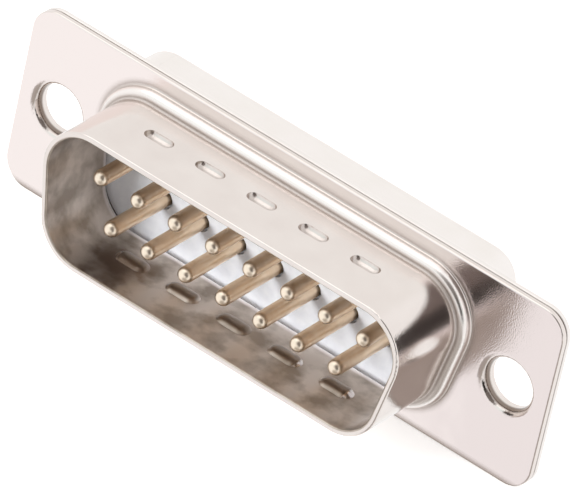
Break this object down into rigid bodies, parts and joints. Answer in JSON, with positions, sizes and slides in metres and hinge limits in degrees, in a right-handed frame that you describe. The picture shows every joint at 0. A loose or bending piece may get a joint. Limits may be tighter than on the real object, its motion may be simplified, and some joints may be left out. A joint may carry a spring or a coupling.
{
  "type": "d-sub connector",
  "caption": "Solder-cup D-sub plug: a drawn D-shaped metal shell with a flat flange and a mounting hole at each end, round a moulded insulator that holds a double row of round pins.",
  "frame": {"origin": "middle of the flange's front face, halfway between the two mounting holes", "axes": "+X along the flange, +Z to the wide contact row, -Y out of the mating side; the solder cups point along +Y"},
  "size_m": [0.0392, 0.0138, 0.0124],
  "materials": {
    "tinned_steel": "bright tin plating on drawn steel sheet",
    "insulator": "matt moulded thermoplastic, pale blue-grey",
    "contact": "satin gold plating on turned brass"
  },
  "bodies": {
    "root": {"front_shell": "tinned_steel", "rear_shell": "tinned_steel", "front_insulator": "insulator", "rear_insulator": "insulator", "pin_01": "contact", "pin_02": "contact", "pin_03": "contact", "pin_04": "contact", "pin_05": "contact", "pin_06": "contact", "pin_07": "contact", "pin_08": "contact", "pin_09": "contact", "pin_10": "contact", "pin_11": "contact", "pin_12": "contact", "pin_13": "contact", "pin_14": "contact", "pin_15": "contact"}
  },
  "joints": []
}
